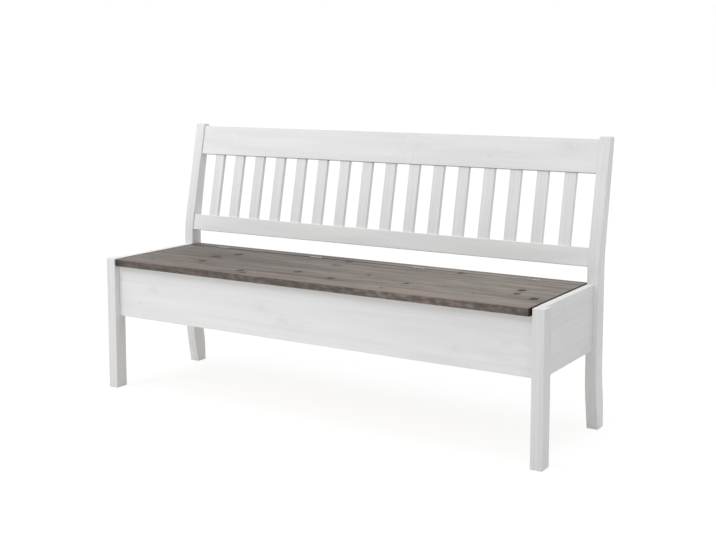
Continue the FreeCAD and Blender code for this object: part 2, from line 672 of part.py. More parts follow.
def back_rail(label, width, start, slot_height):
    """A rail of the backrest, with a tenon on each end and a row of slots for the slats."""
    body = plank("2 * worked.inner_half", "sizes.rail_thickness", width)
    dress(body, "Chamfer", "sizes.board_ease", lambda edge: runs_along(edge, V(1, 0, 0)))
    block(
        body, "Additive",
        "2 * worked.inner_half + 2 * sizes.rail_tenon_length",
        "sizes.rail_tenon_thickness",
        f"{width} - 2 * sizes.rail_shoulder",
        "-sizes.rail_tenon_length", "worked.rail_tenon_inset", "sizes.rail_shoulder",
    )
    slot = block(
        body, "Subtractive",
        "sizes.slat_width + 2 * sizes.joint_play",
        "sizes.slat_thickness + 2 * sizes.joint_play",
        "sizes.slat_tenon + sizes.joint_spare + sizes.cut_overrun",
        "sizes.slat_margin - sizes.joint_play", "worked.slat_inset - sizes.joint_play", slot_height,
    )
    doc.recompute()
    row = body.newObject("PartDesign::LinearPattern", "slots")
    row.Originals = [slot]
    row.Direction = (body.Group[0], ["H_Axis"])
    bind(row, Length="worked.slat_row", Occurrences="sizes.slat_count")
    body.Tip = row
    lean(body, "-worked.inner_half", "sizes.rail_setback", start)
    return keep(body, label)


back_rail(
    "lower_rail", "sizes.lower_rail_width", "-sizes.lower_rail_drop",
    "sizes.lower_rail_width - sizes.slat_tenon - sizes.joint_spare",
)
back_rail("top_rail", "sizes.top_rail_width", "worked.top_rail_start", "-sizes.cut_overrun")

# Slats of the backrest, each let into both rails
for number in range(int(size["slat_count"])):
    slat = plank("sizes.slat_width", "sizes.slat_thickness", "worked.slat_length")
    dress(slat, "Chamfer", "sizes.board_ease", lambda edge: runs_along(edge, V(0, 0, 1)))
    across = f"sizes.slat_margin + {number} * worked.slat_row / (sizes.slat_count - 1)"
    lean(slat, f"{across} - worked.inner_half", "sizes.rail_setback + worked.slat_inset", "worked.slat_foot")
    keep(slat, f"back_slat_{number + 1:02d}")

doc.recompute()

for item in doc.Objects:
    if "Invalid" in item.State or "Error" in item.State:
        raise SystemExit(f"{item.Label} ({item.TypeId}) failed: {item.State}")
for node in parts:
    if node.Shape.isNull() or not node.Shape.isValid() or not node.Shape.Solids:
        raise SystemExit(f"{node.Label} has no valid solid")

os.makedirs("parts", exist_ok=True)
for node in parts:
    node.Shape.exportStep(f"parts/{node.Label}.step")
print(f"{len(parts)} pieces, {sum(len(node.Shape.Solids) for node in parts)} solids")
print(f"rear reach {size['rear_reach']:.2f}, legs' fronts at y = {size['leg_front']:.2f}")
print(f"hinge axis at y = {size['leg_front'] + size['joint_y']:.2f}, z = {size['pin_height']:.2f}")
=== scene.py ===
# %% [markdown]
# # A painted pine storage bench with a stained seat
# The joinery is already settled: it comes in as a fixed frame, in metres. This script gives each board
# its planed and sanded shape, its paint or stain, and then a plain studio to look at it in.

# %% Load the frame
import json
import math

import bpy
import numpy as np
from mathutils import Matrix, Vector


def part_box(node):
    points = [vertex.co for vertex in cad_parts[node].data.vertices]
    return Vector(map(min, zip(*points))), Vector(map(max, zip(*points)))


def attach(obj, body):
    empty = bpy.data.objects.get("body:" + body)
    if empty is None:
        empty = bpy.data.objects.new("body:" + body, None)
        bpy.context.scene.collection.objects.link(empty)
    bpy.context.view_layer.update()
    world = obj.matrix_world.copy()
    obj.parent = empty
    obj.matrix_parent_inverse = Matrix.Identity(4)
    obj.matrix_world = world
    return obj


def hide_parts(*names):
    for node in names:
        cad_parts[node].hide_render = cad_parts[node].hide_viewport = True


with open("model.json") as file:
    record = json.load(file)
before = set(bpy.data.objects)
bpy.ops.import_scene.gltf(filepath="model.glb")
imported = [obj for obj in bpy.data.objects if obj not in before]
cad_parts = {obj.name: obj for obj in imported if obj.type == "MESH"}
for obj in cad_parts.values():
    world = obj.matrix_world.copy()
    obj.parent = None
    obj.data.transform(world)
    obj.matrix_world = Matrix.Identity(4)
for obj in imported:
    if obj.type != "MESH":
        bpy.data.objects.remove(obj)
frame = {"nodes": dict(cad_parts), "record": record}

record = frame["record"]
nodes = frame["nodes"]
body_of = {name: body for body, members in record["behaviour"]["bodies"].items() for name in members}
slot_of = {part["node"]: part["material_slot"] for part in record["subparts"]}
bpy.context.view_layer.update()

# %% [markdown]
# The seat and the box under it are square to the axes, so the box of each piece tells its size and place.
# Only the backrest leans. Its slope and the bends of the rear posts are sizes that no box can tell, and so
# are the places of hinges and screws. A name that ends in EDGE is the radius of a sanded edge. The two rails
# are given by their lowest and highest place along the slope, counted from the bend of the posts.

# %% Sizes in metres and radians
MM = 0.001
LEAN, LEAN_START = math.radians(11.8), 538.5 * MM
POST_SETBACK, POST_DEPTH = 428 * MM, 51 * MM
LOWER_RAIL, TOP_RAIL = np.array([-11, 49]) * MM, np.array([285, 394.5]) * MM
LEG_EDGE, SEAT_EDGE, BOARD_EDGE = 2.6 * MM, 2.6 * MM, 1.8 * MM
ROUGH_EDGE, SEAM_EDGE = 0.8 * MM, 0.4 * MM
HINGE_AXIS = np.array(record["behaviour"]["joints"][0]["pos_m"])
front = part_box("front_leg_right")[0].y
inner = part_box("front_leg_right")[0].x
post_front = front + POST_SETBACK
post_back = post_front + POST_DEPTH
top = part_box("rear_post_right")[1].z
seat_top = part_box("lid_board_1")[1].z
seat_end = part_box("lid_board_1")[1].x
print(f"seat top at {seat_top:.3f} m, post fronts at y = {post_front:.4f} m, hinge axis at {HINGE_AXIS}")

# %% [markdown]
# ## Mesh helpers
# A planed board is a box whose edges have been taken off with sandpaper. A bevel modifier could round them,
# but a surface that is worked out directly gives even strips and no surprises at the corners: a ball of the
# edge radius is rolled inside the box, and every point of the box is pulled onto that ball.

# %% Put arrays into a mesh
def put(name, data):
    """A new object in the scene."""
    thing = bpy.data.objects.new(name, data)
    bpy.context.scene.collection.objects.link(thing)
    return thing


def make_piece(name, points, faces, flat, material):
    """Make a mesh object at the origin; flat tells for each face whether it is a planed flat."""
    mesh = bpy.data.meshes.new(name)
    mesh.from_pydata(points.tolist(), [], faces)
    mesh.polygons.foreach_set("use_smooth", ~np.asarray(flat, bool))
    mesh.materials.append(material)
    return put(name, mesh)


def carry(piece, name):
    """Let the piece stand for the node of that name, on the same body, and hide that node."""
    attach(piece, body_of[name])
    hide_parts(name)
    return piece


def joined(shapes):
    """Several (points, faces, flat) as one, with the numbers of the later points moved up."""
    points, faces, flat, count = [], [], [], 0
    for some_points, some_faces, some_flat in shapes:
        points.append(some_points)
        faces += [[number + count for number in face] for face in some_faces]
        flat += list(some_flat)
        count += len(some_points)
    return np.concatenate(points), faces, flat


# %% [markdown]
# A flat side is a grid with all its extra lines in the strip next to each edge. The lines are spaced by the
# tangent of equal angles, so that after the pull onto the ball they stand at equal angles round the edge.

# %% A board with sanded edges
SAME_PLACE_DIGITS = 7
FLAT_NORMAL = 0.99999


def eased_lines(low, high, radius, steps):
    """Grid lines across one side: tangents of equal angles up to 45 degrees inside each edge strip."""
    strip = radius * np.tan(np.linspace(0, math.pi / 4, steps + 1))
    return np.concatenate([low + radius - strip[::-1], high - radius + strip])


def eased_box(low, high, radius, steps=4):
    """Points, quads and flat marks of a box with rounded edges.

    Each point p of the sharp box has a nearest point q in the box that is smaller by the radius on all
    sides, and moves to q + radius * (p - q) / |p - q|. Points of two sheets that meet are made one, and a
    face is flat if its normal lies along an axis."""
    low, high = np.asarray(low, float), np.asarray(high, float)
    lines = [eased_lines(low[axis], high[axis], radius, steps) for axis in range(3)]
    points, faces, count = [], [], 0
    for axis in range(3):
        across, along = (axis + 1) % 3, (axis + 2) % 3
        for side, value in enumerate((low[axis], high[axis])):
            first, second = np.meshgrid(lines[across], lines[along], indexing="ij")
            sheet = np.empty(first.shape + (3,))
            sheet[..., axis], sheet[..., across], sheet[..., along] = value, first, second
            number = np.arange(first.size).reshape(first.shape) + count
            quads = np.stack([number[:-1, :-1], number[1:, :-1], number[1:, 1:], number[:-1, 1:]], -1)
            quads = quads.reshape(-1, 4)
            faces.append(quads if side else quads[:, ::-1])
            points.append(sheet.reshape(-1, 3))
            count += first.size
    points, faces = np.concatenate(points), np.concatenate(faces)
    shrunk = np.clip(points, low + radius, high - radius)
    reach = points - shrunk
    points = shrunk + radius * reach / np.linalg.norm(reach, axis=1, keepdims=True)
    rounded = np.round(points, SAME_PLACE_DIGITS)
    first, same = np.unique(rounded, axis=0, return_index=True, return_inverse=True)[1:]
    points, faces = points[first], same.reshape(-1)[faces]
    corners = points[faces]
    normal = np.cross(corners[:, 2] - corners[:, 0], corners[:, 3] - corners[:, 1])
    normal /= np.linalg.norm(normal, axis=1, keepdims=True)
    return points, faces.tolist(), np.abs(normal).max(axis=1) > FLAT_NORMAL


trial = eased_box((0, 0, 0), (1, 0.1, 0.02), 0.002)
print(f"a board takes {len(trial[0])} points and {len(trial[1])} quads")

# %% [markdown]
# Some pieces are carried along a drawn line: the rear posts, which are sawn to shape, and the seat boards,
# whose edges are not all equally round. A closed outline is carried across the post or along the board.
# Stepping it inwards along a quarter circle at both ends rounds the rim there in one go.

# %% A line with rounded bends
def bent_line(corners, radii, steps=8):
    """A closed outline whose corners are replaced by arcs.

    An arc of radius r at a bend of angle a begins r * tan(a / 2) before the corner."""
    corners = np.asarray(corners, float)
    points = []
    for before, corner, after, radius in zip(np.roll(corners, 1, 0), corners, np.roll(corners, -1, 0), radii):
        into, out = corner - before, after - corner
        into, out = into / np.linalg.norm(into), out / np.linalg.norm(out)
        turn = math.atan2(into[0] * out[1] - into[1] * out[0], into @ out)
        left = np.array([-into[1], into[0]]) * math.copysign(1, turn)
        middle = corner - into * radius * math.tan(abs(turn) / 2) + left * radius
        angle = np.linspace(0, abs(turn), steps + 1)[:, None]
        points.append(middle - left * radius * np.cos(angle) + into * radius * np.sin(angle))
    return np.concatenate(points)


def stepped_in(outline, depth):
    """The outline moved inwards by depth: each corner slides along the bisector of its two sides."""
    ahead = np.roll(outline, -1, axis=0) - outline
    ahead /= np.linalg.norm(ahead, axis=1, keepdims=True)
    behind = np.roll(ahead, 1, axis=0)
    bisector = np.stack([-ahead[:, 1] - behind[:, 1], ahead[:, 0] + behind[:, 0]], -1)
    return outline + depth * bisector * 2 / (bisector ** 2).sum(axis=1, keepdims=True)


def sawn_board(outline, low, high, radius, steps=5):
    """Carry a closed outline in the Y-Z plane from x = low to x = high, with rounded rims.

    At each rim the angle a runs through a quarter turn: the outline is stepped in by
    radius * (1 - sin a) while x moves in by radius * (1 - cos a)."""
    angle = np.linspace(0, math.pi / 2, steps + 1)
    inset, travel = radius * (1 - np.sin(angle)), radius * (1 - np.cos(angle))
    levels = list(zip(low + travel, inset)) + list(zip((high - travel)[::-1], inset[::-1]))
    rings = []
    for x, depth in levels:
        ring = stepped_in(outline, depth)
        rings.append(np.column_stack([np.full(len(ring), x), ring]))
    number = np.arange(len(outline) * len(rings)).reshape(len(rings), len(outline))
    after = np.roll(number, -1, axis=1)
    quads = np.stack([number[:-1], after[:-1], after[1:], number[1:]], -1).reshape(-1, 4)
    faces = quads.tolist() + [number[0][::-1].tolist(), number[-1].tolist()]
    return np.concatenate(rings), faces, [False] * len(quads) + [True, True]


# %% [markdown]
# Screws, pins and hinge knuckles are round, so they are profiles turned round an axis. A pin is solid and
# closes on its axis. A knuckle is a ring: its profile closes on itself, and the bore stays open.

# %% A turned piece
def turned(profile, sides=32, dip=None):
    """Turn a profile of (height, radius) pairs round +Z; both ends close on the axis.

    dip(x, y, row) may lower points, which cuts a slot into the end."""
    heights, radii = np.asarray(profile, float).T
    turn = np.linspace(0, math.tau, sides, endpoint=False)
    x, y = radii[:, None] * np.cos(turn), radii[:, None] * np.sin(turn)
    z = np.repeat(heights[:, None], sides, axis=1)
    if dip is not None:
        z = z - dip(x, y, np.arange(len(radii))[:, None])
    ends = np.array([[0, 0, heights[0]], [0, 0, heights[-1] - (dip(0.0, 0.0, len(radii)) if dip else 0)]])
    points = np.concatenate([np.stack([x, y, z], -1).reshape(-1, 3), ends])
    number = np.arange(x.size).reshape(x.shape)
    after = np.roll(number, -1, axis=1)
    quads = np.stack([number[:-1], after[:-1], after[1:], number[1:]], -1).reshape(-1, 4).tolist()
    fans = [[x.size, second, first] for first, second in zip(number[0], after[0])]
    fans += [[x.size + 1, first, second] for first, second in zip(number[-1], after[-1])]
    return points, quads + fans, [False] * (len(quads) + len(fans))


def turned_ring(profile, sides=32):
    """Turn a profile that closes on itself round +Z, so that a bore stays open along the axis."""
    heights, radii = np.asarray(profile, float).T
    turn = np.linspace(0, math.tau, sides, endpoint=False)
    x, y = radii[:, None] * np.cos(turn), radii[:, None] * np.sin(turn)
    points = np.stack([x, y, np.repeat(heights[:, None], sides, axis=1)], -1).reshape(-1, 3)
    number = np.arange(x.size).reshape(x.shape)
    above, after = np.roll(number, -1, axis=0), np.roll(number, -1, axis=1)
    quads = np.stack([number, after, np.roll(above, -1, axis=1), above], -1).reshape(-1, 4).tolist()
    return points, quads, [False] * len(quads)


def moved(shape, place, heading=(0, 0, 1)):
    """Turn a shape's +Z to a heading and put its origin at a place."""
    turn = np.array(Vector((0, 0, 1)).rotation_difference(Vector(heading)).to_matrix())
    return shape[0] @ turn.T + np.asarray(place, float), shape[1], shape[2]


# %% [markdown]
# ## Finishes
# A finish is a network of nodes: places and noise go in at one end, colour, roughness and fine relief come
# out at the other. A few helpers say each step in one line. Noise is given as blots per metre along, across
# and through the board, because wood is never alike both ways.

# %% Node helpers
def new_tree(name):
    """A material with an empty node tree."""
    material = bpy.data.materials.new(name)
    material.use_nodes = True
    material.node_tree.nodes.clear()
    return material, material.node_tree


def add(tree, kind, settings=None, **inputs):
    """Add a node; each input is a value or the socket that feeds it, with _ for a space in its name, or
    i and its number where names repeat."""
    new = tree.nodes.new("ShaderNode" + kind)
    for key, value in (settings or {}).items():
        setattr(new, key, value)
    for key, value in inputs.items():
        socket = new.inputs[int(key[1:])] if key[1:].isdigit() else new.inputs[key.replace("_", " ")]
        if isinstance(value, bpy.types.NodeSocket):
            tree.links.new(value, socket)
        else:
            socket.default_value = value
    return new


# %% [markdown]
# Nearly every step is arithmetic on numbers or vectors, taking a vector apart, mapping a range, mixing two
# colours, or noise.

# %% Steps of a network
def calc(tree, operation, first, second=0.0, third=0.0):
    """One step of arithmetic on sockets or numbers."""
    return add(tree, "Math", {"operation": operation}, i0=first, i1=second, i2=third).outputs[0]


def vector(tree, operation, first, second=(0, 0, 0)):
    """One step of vector arithmetic; a length or a dot product is its Value output."""
    result = add(tree, "VectorMath", {"operation": operation}, i0=first, i1=second)
    return result.outputs["Value" if operation in ("LENGTH", "DOT_PRODUCT") else "Vector"]


def xyz(tree, source):
    """The X, Y and Z of a vector, by name."""
    return add(tree, "SeparateXYZ", Vector=source).outputs


def span(tree, value, low, high, start=0.0, end=1.0):
    """Map low..high to start..end with a smooth step."""
    ramp = add(
        tree, "MapRange", {"interpolation_type": "SMOOTHSTEP"},
        Value=value, From_Min=low, From_Max=high, To_Min=start, To_Max=end,
    )
    return ramp.outputs["Result"]


def blend(tree, share, first, second):
    """Mix two colours; share 1 gives the second."""
    return add(tree, "Mix", {"data_type": "RGBA"}, i0=share, i6=first, i7=second).outputs[2]


def clouds(tree, place, stretch, detail=2.0, roughness=0.5):
    """Smooth noise from 0 to 1, with so many blots per metre along, across and through."""
    spread = vector(tree, "MULTIPLY", place, stretch)
    return add(
        tree, "TexNoise", Vector=spread, Scale=1.0, Detail=detail, Roughness=roughness
    ).outputs["Fac"]


# %% [markdown]
# Every network ends in the same shader, and its relief is a quarter of a millimetre deep at most.

# %% The end of a network
def surface(tree, colour, roughness, height, depth, specular, metallic=0.0):
    """The shader of a finish: colour, roughness, and fine relief of so many metres."""
    relief = add(tree, "Bump", Strength=0.6, Distance=depth, Height=height)
    shader = add(
        tree, "BsdfPrincipled",
        Base_Color=colour, Roughness=roughness, Normal=relief.outputs["Normal"], Metallic=metallic,
    )
    shader.inputs["Specular IOR Level"].default_value = specular
    add(tree, "OutputMaterial", Surface=shader.outputs["BSDF"])


# %% [markdown]
# Every board carries its own coordinate as an attribute named board: along the grain, across it, and through
# the thickness, in metres, with a start of its own, so that no two boards show the same picture. A second
# attribute, tone, says how much lighter or darker a board took the paint or stain; without one it counts as
# 0. Places on the bench, such as those of the measured knots, are Object coordinates, because every piece
# has its origin at the bench's own.

# %% What a finish knows about its place
def wood_place(tree):
    return add(tree, "Attribute", {"attribute_name": "board"}).outputs["Vector"]


def own_tone(tree):
    return add(tree, "Attribute", {"attribute_name": "tone"}).outputs["Fac"]


def bench_place(tree):
    return add(tree, "TexCoord").outputs["Object"]


def facing(tree):
    """Which way the surface looks, as X, Y and Z from -1 to 1."""
    return xyz(tree, add(tree, "TexCoord").outputs["Normal"])


# %% [markdown]
# ### How a pine board shows its grain
# Sawn pine shows growth rings as lines along the board, a few millimetres to a few centimetres apart, that
# wander slowly. Where a branch left the trunk there is a knot, and the lines part to flow round it. All of
# that comes from one number, the phase: distance across the board, plus a slow wander, plus a bump round
# each knot. Lines of equal phase then part round the bump and close into rings near its middle.

# %% Grain and knots
SLOW_WANDER, FINE_WANDER = (1.3, 9.0, 9.0), (7.0, 160.0, 160.0)
RINGS_ROUND_KNOT, FINE_SHARE = 5.0, 0.6
SPRING, SUMMER, WINTER = 0.2, 0.85, 1.0
KNOT_STRETCH = (0.7, 1.0, 0.35)
KNOT_SIZES, FAR = (0.6, 1.5), 99.0


def pine_rings(tree, place, bump, pitch, wander):
    """Growth rings: a saw tooth of the phase, slowly darker through each summer, then sharply light again.

    phase = across / pitch + wander * slow noise + RINGS_ROUND_KNOT * bump + FINE_SHARE * fine noise"""
    slow = calc(tree, "MULTIPLY", clouds(tree, place, SLOW_WANDER, 1.5), wander)
    phase = calc(tree, "MULTIPLY_ADD", xyz(tree, place)["Y"], 1 / pitch, slow)
    phase = calc(tree, "MULTIPLY_ADD", bump, RINGS_ROUND_KNOT, phase)
    phase = calc(tree, "MULTIPLY_ADD", clouds(tree, place, FINE_WANDER), FINE_SHARE, phase)
    tooth = calc(tree, "FRACT", phase)
    return calc(tree, "MULTIPLY", span(tree, tooth, SPRING, SUMMER), span(tree, tooth, WINTER, SUMMER))


def scattered_knots(tree, place, cell, share):
    """Distance in metres from the knot in this part of the board, and 1 or 0 for whether there is one.

    A Voronoi texture puts one point into each cell; share is the part of the cells that hold a knot. The
    distance is divided by the knot's own size, so that large and small knots read alike."""
    scaled = vector(tree, "MULTIPLY", place, tuple(1 / side for side in cell))
    spots = add(tree, "TexVoronoi", {"feature": "F1"}, Vector=scaled, Scale=1.0, Randomness=0.85)
    arrow = vector(tree, "MULTIPLY", vector(tree, "SUBTRACT", scaled, spots.outputs["Position"]), cell)
    reach = vector(tree, "LENGTH", vector(tree, "MULTIPLY", arrow, KNOT_STRETCH))
    lot = add(tree, "SeparateColor", Color=spots.outputs["Color"])
    held = calc(tree, "GREATER_THAN", lot.outputs["Red"], 1 - share)
    return calc(tree, "DIVIDE", reach, span(tree, lot.outputs["Green"], 0.0, 1.0, *KNOT_SIZES)), held


def measured_knots(tree, here, knots, squeeze):
    """Distance from the nearest listed knot, as a multiple of that knot's radius."""
    nearest = FAR
    for x, y, z, radius in knots:
        arrow = vector(tree, "SUBTRACT", here, (x, y, z))
        arrow = vector(tree, "MULTIPLY", arrow, tuple(part / radius for part in squeeze))
        nearest = calc(tree, "MINIMUM", vector(tree, "LENGTH", arrow), nearest)
    return nearest


# %% [markdown]
# ### White paint over pine
# The paint hides the colour of the wood, but the hard rings still print through as the faintest of ridges,
# and the larger knots as dull spots. Those on the front board of the box and on the top rail were measured
# on the real bench; the others are scattered. A measured knot gets a ragged rim from noise that is added to
# its distance.

# %% Knots under the paint
PAINT_KNOTS = (
    (-0.644, -0.247, 0.371, 0.013), (-0.171, -0.247, 0.358, 0.010), (-0.083, -0.247, 0.327, 0.012),
    (0.552, -0.247, 0.319, 0.013), (0.713, -0.247, 0.354, 0.011), (-0.706, -0.247, 0.318, 0.007),
    (0.154, 0.229, 0.877, 0.014), (0.706, 0.233, 0.894, 0.014), (0.427, 0.224, 0.855, 0.008),
)
PAINT_KNOT_CELL, PAINT_KNOT_SHARE, PAINT_KNOT_SQUEEZE = (0.42, 0.16, 0.12), 0.35, (0.55, 0.3, 1.0)
print(len(PAINT_KNOTS), "knots measured under the paint, as x, y, z and radius in metres")


def paint_knots(tree, place, here):
    """How much a knot bends the grain here, and how much its heart prints through, both from 0 to 1."""
    reach, held = scattered_knots(tree, place, PAINT_KNOT_CELL, PAINT_KNOT_SHARE)
    known = measured_knots(tree, here, PAINT_KNOTS, PAINT_KNOT_SQUEEZE)
    wobble = calc(tree, "MULTIPLY_ADD", clouds(tree, here, (45.0, 45.0, 70.0), 3.0), 2.4, -1.2)
    known = calc(tree, "ADD", known, wobble)
    halo = calc(tree, "MULTIPLY", span(tree, reach, 0.028, 0.0), held)
    heart = calc(tree, "MULTIPLY", calc(tree, "MULTIPLY", span(tree, reach, 0.008, 0.003), held), 0.4)
    halo = calc(tree, "MAXIMUM", halo, span(tree, known, 2.6, 0.2))
    return halo, calc(tree, "MAXIMUM", heart, span(tree, known, 1.3, 0.4))


# %% [markdown]
# Painted shade darkens the paint on faces that look down, and that draws the dark line under the top rail.
# Painted light makes faces that look up a shade whiter. A painted shade lies in a thin line on the slats
# where they go into the top rail. The tone of the board is added to all that.

# %% Painted shade and light on the paint
# Painted shade on faces that look down, painted light on faces that look up, and painted shade under the top
# rail.
PAINTED_SHADE_BELOW, PAINTED_LIGHT_ABOVE, PAINTED_CREASE_SHADE = -0.50, 1.07, -0.5
CREASE_SHADE_WIDTH, CREASE_SHADE_FADE, RAIL_FADE = 1.4 * MM, 2.6 * MM, 0.3 * MM


# The crease under the top rail gets a painted shade.
def crease_under_rail(tree, here):
    """1 on the slats in the last two millimetres below the top rail, 0 elsewhere.

    A point's height along the slope is its y times the sine of the lean plus its z times the cosine, less
    what that sum is at the bend of the posts."""
    slope = vector(tree, "DOT_PRODUCT", here, (0, math.sin(LEAN), math.cos(LEAN)))
    up = calc(tree, "SUBTRACT", slope, post_front * math.sin(LEAN) + LEAN_START * math.cos(LEAN))
    rail = TOP_RAIL[0]
    line = calc(tree, "MULTIPLY", span(tree, up, rail - CREASE_SHADE_FADE, rail - CREASE_SHADE_WIDTH),
                span(tree, up, rail, rail - RAIL_FADE))
    side = calc(tree, "ABSOLUTE", xyz(tree, here)["X"])
    return calc(tree, "MULTIPLY", line, calc(tree, "LESS_THAN", side, inner - MM))


def paint_weight(tree, here):
    """The colour's factor: the board's tone, painted shade below and under the top rail, painted light on
    tops.
    """
    up = facing(tree)["Z"]
    # Painted shade on faces that look down, painted light on faces that look up.
    underside_shade = span(tree, up, -0.45, -0.90, 0.0, PAINTED_SHADE_BELOW)
    top_light = span(tree, up, 0.55, 0.95, 1.0, PAINTED_LIGHT_ABOVE)
    weight = calc(tree, "ADD", calc(tree, "ADD", own_tone(tree), underside_shade), top_light)
    # Painted shade in the crease under the top rail.
    return calc(tree, "MULTIPLY_ADD", crease_under_rail(tree, here), PAINTED_CREASE_SHADE, weight)


# %% [markdown]
# Three things grey the white a little: the hard rings, long streaks of the wood, and the narrower strokes of
# the brush. They are added up with a share each, and the sum leads from the clear white to the greyest. The
# relief follows the rings, which stay a little lower, and the fibres, far finer than a ring.

# %% White painted pine
PAINT, PAINT_GREYEST = (0.812, 0.813, 0.812, 1), (0.746, 0.747, 0.747, 1)
PAINT_NEAR_KNOT, PAINT_ON_KNOT = (0.64, 0.64, 0.64, 1), (0.50, 0.495, 0.49, 1)
STREAK, STROKE, FIBRE = (2.2, 30.0, 30.0), (1.6, 85.0, 85.0), (14.0, 700.0, 700.0)
RING_SHARE, STREAK_SHARE, STROKE_SHARE = 0.12, 0.50, 0.38


def white_paint():
    material, tree = new_tree("White painted pine")
    place, here = wood_place(tree), bench_place(tree)
    halo, heart = paint_knots(tree, place, here)
    ring = pine_rings(tree, place, halo, 0.016, 3.4)
    fibre = clouds(tree, place, FIBRE, 2.0, 0.6)
    grey = calc(tree, "MULTIPLY", clouds(tree, place, STREAK, 3.0, 0.6), STREAK_SHARE)
    grey = calc(tree, "MULTIPLY_ADD", ring, RING_SHARE, grey)
    grey = calc(tree, "MULTIPLY_ADD", clouds(tree, place, STROKE, 2.0, 0.6), STROKE_SHARE, grey)
    colour = blend(tree, span(tree, grey, 0.30, 0.70), PAINT, PAINT_GREYEST)
    colour = blend(tree, calc(tree, "MULTIPLY", halo, 0.11), colour, PAINT_NEAR_KNOT)
    colour = blend(tree, calc(tree, "MULTIPLY", heart, 0.10), colour, PAINT_ON_KNOT)
    # The colour takes the board's tone and the painted shade and light.
    colour = vector(tree, "MULTIPLY", colour, paint_weight(tree, here))
    height = calc(tree, "MULTIPLY_ADD", ring, -0.6, calc(tree, "MULTIPLY", fibre, 0.35))
    surface(tree, colour, span(tree, fibre, 0.2, 0.8, 0.42, 0.56), height, depth=0.18 * MM, specular=0.4)
    return material


# %% [markdown]
# ### Stained seat
# The seat is six boards glued edge to edge, with grey-brown stain under a dull lacquer. Its knots stand where
# they were measured on the real seat: so far from the middle, so far behind the front legs' faces, and the
# radius, all in millimetres. Each is nearly black, with rings of its own drawn by a sine of the distance.

# %% Knots in the seat
SEAT_KNOTS_MM = (
    (-535, 242, 14), (-512, 137, 11), (-490, 317, 16), (-500, 222, 8), (-100, 137, 12), (-280, 57, 11),
    (-250, 32, 8), (-68, 314, 7), (-48, 306, 5), (310, 147, 8), (57, 97, 11), (132, 212, 7), (667, 235, 12),
    (675, 175, 10), (750, 132, 13), (375, 401, 11), (562, 110, 3), (280, 42, 5), (-65, 403, 12),
    (-350, 186, 3), (455, 268, 2), (-700, 90, 5), (210, 330, 2),
)
SEAT_KNOTS = [(x * MM, front + y * MM, seat_top, radius * MM) for x, y, radius in SEAT_KNOTS_MM]
SEAT_KNOT_SQUEEZE = (1.25, 1.0, 0.4)
KNOT_DARK, KNOT_BROWN = (0.010, 0.008, 0.007, 1), (0.040, 0.030, 0.023, 1)
print(len(SEAT_KNOTS), "knots in the seat")


def seat_knots(tree, here):
    """How much a knot bends the grain here and where its heart is, both from 0 to 1, and its colour."""
    wobble = calc(tree, "MULTIPLY_ADD", clouds(tree, here, (55.0, 75.0, 70.0), 3.0, 0.6), 1.5, -0.75)
    knots = calc(tree, "ADD", measured_knots(tree, here, SEAT_KNOTS, SEAT_KNOT_SQUEEZE), wobble)
    shells = calc(tree, "SINE", calc(tree, "MULTIPLY_ADD", knots, 11.0, calc(tree, "MULTIPLY", wobble, 5.0)))
    wood = blend(tree, span(tree, shells, -0.6, 1.0), KNOT_DARK, KNOT_BROWN)
    return span(tree, knots, 4.5, 0.0), span(tree, knots, 1.60, 1.15), wood


# %% [markdown]
# Stain soaks into the soft early wood and leaves the hard rings their own colour, so the seat is full of long
# streaks: grey, pinkish brown and a little green. The boards differ as well: a board with a high tone turns
# pink, one with a low tone green. Each kind of streak is laid over the ones before it, where its own noise is
# strong enough.

# %% Streaks in the seat
STAIN = {
    "light": (0.252, 0.233, 0.209, 1), "dark": (0.106, 0.093, 0.082, 1), "pink": (0.232, 0.172, 0.150, 1),
    "green": (0.172, 0.175, 0.132, 1), "ring": (0.086, 0.068, 0.057, 1), "pale": (0.290, 0.268, 0.240, 1),
    "fibre": (0.092, 0.078, 0.067, 1), "near_knot": (0.120, 0.098, 0.080, 1),
}


def seat_streaks(tree, place, ring, fine):
    """The colour of the open wood between knots and edges."""
    tone = own_tone(tree)
    long_streak = clouds(tree, place, (1.9, 50.0, 50.0), 3.0, 0.62)
    colour = blend(tree, span(tree, long_streak, 0.38, 0.62), STAIN["light"], STAIN["dark"])
    pink = calc(tree, "ADD", clouds(tree, place, (2.6, 40.0, 41.0)), calc(tree, "MULTIPLY", tone, 0.35))
    colour = blend(tree, span(tree, pink, 0.48, 0.85, 0.0, 0.85), colour, STAIN["pink"])
    green = calc(tree, "SUBTRACT", clouds(tree, place, (2.4, 34.0, 33.0)), calc(tree, "MULTIPLY", tone, 0.3))
    colour = blend(tree, span(tree, green, 0.55, 0.8, 0.0, 0.38), colour, STAIN["green"])
    colour = blend(tree, calc(tree, "MULTIPLY", ring, 0.50), colour, STAIN["ring"])
    wide = clouds(tree, place, (1.7, 24.0, 24.0))
    colour = blend(tree, span(tree, wide, 0.35, 0.7, 0.0, 0.30), colour, STAIN["pale"])
    return blend(tree, span(tree, fine, 0.45, 0.70, 0.0, 0.64), colour, STAIN["fibre"])


# %% [markdown]
# Some of the seat's colour is painted light. It is darker towards the left end and lighter towards the right,
# a painted highlight lies on the fixed strip behind the open joint, and a painted shade along that joint.
# Stain has soaked in along the edges, a painted shadow darkens the left front corner, and the end grain has
# drunk so much stain that it is nearly black, with a thin rim of it on the top.

# %% Joint, edges and end grain of the seat
# Painted light along the seat, darker at the left and lighter at the right, and a painted highlight on the
# fixed strip.
LEFT, RIGHT, PAINTED_LIGHT_LEFT, PAINTED_LIGHT_RIGHT, STRIP_PAINTED_LIGHT = -0.6, 0.55, 0.82, 1.31, 1.22
# Painted shade for the open joint, and stain soaked into the edges.
PAINTED_JOINT_SHADE, ON_EDGE = (0.018, 0.015, 0.013, 1), (0.076, 0.063, 0.053, 1)
# Painted shadow at the left front corner, and stain drunk by the end grain.
PAINTED_CORNER_SHADOW, ON_END = (0.030, 0.028, 0.024, 1), (0.016, 0.013, 0.011, 1)


